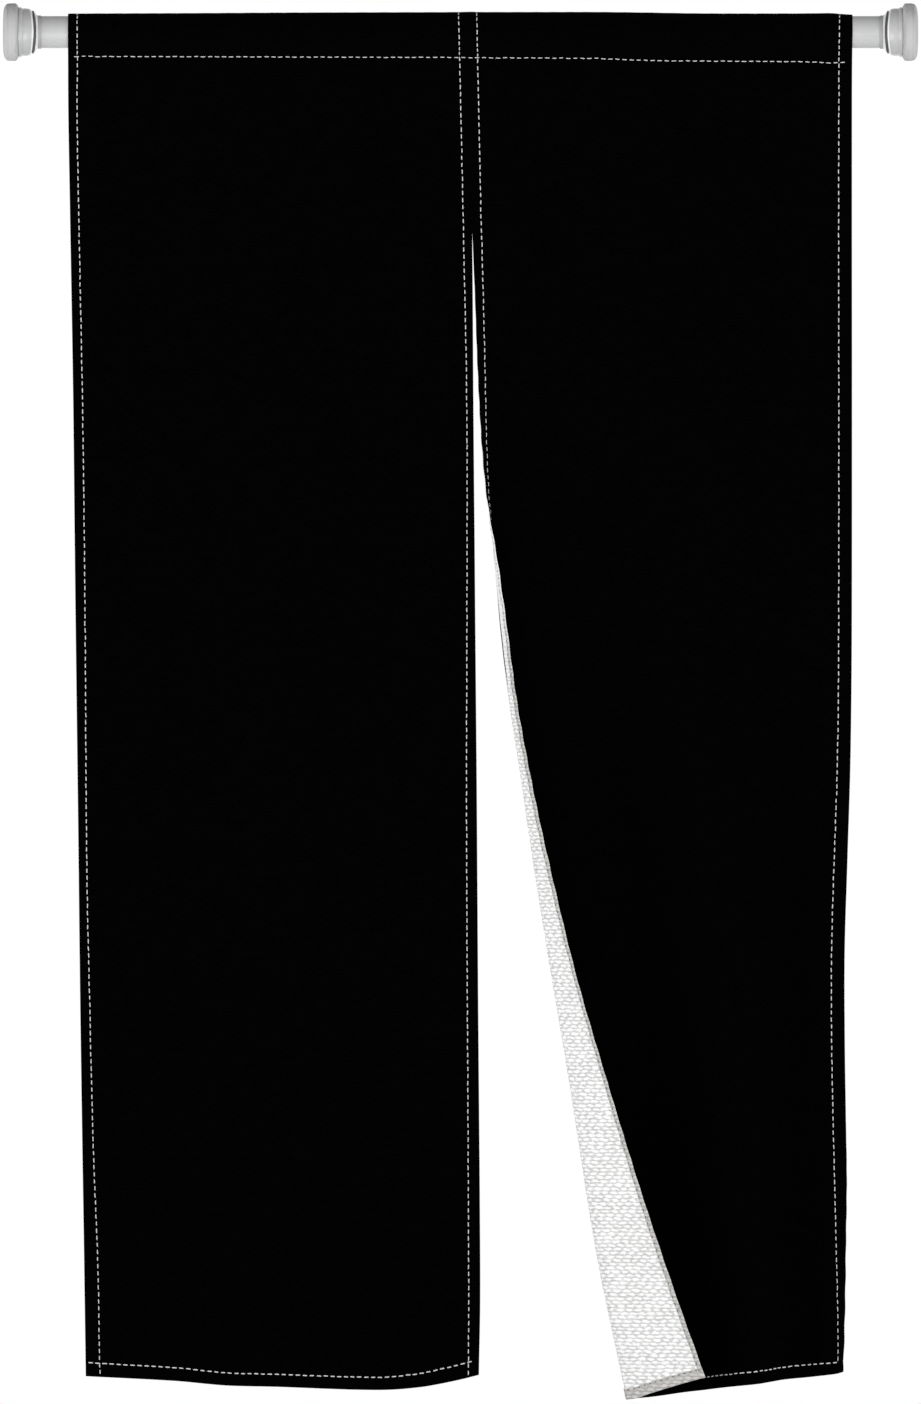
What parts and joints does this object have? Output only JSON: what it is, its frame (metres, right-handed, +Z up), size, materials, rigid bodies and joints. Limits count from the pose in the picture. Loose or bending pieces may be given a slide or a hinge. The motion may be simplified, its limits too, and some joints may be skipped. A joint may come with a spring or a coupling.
{
  "type": "noren curtain with tension rod",
  "caption": "Split door curtain of black cloth with white running stitch, hung by a rod pocket on a tension rod with round end pads.",
  "frame": {"origin": "centre of the left end pad's wall face, on the rod's axis", "axes": "+X along the rod to the right as seen from the front, +Z up, -Y out of the front of the curtain"},
  "size_m": [0.994, 0.1178, 1.5167],
  "materials": {
    "cloth": "matt woven cloth, black front, white reverse",
    "tube": "satin white coat",
    "pad": "soft matt",
    "cap": "satin",
    "ring": "matt dark grey",
    "collar": "satin"
  },
  "bodies": {
    "root": {"panel_left": "cloth", "panel_right": "cloth", "rod_tube": "tube", "pad_left": "pad", "pad_right": "pad", "cap_left": "cap", "cap_right": "cap", "ring_left": "ring", "ring_right": "ring", "collar_left": "collar", "collar_right": "collar"}
  },
  "joints": []
}
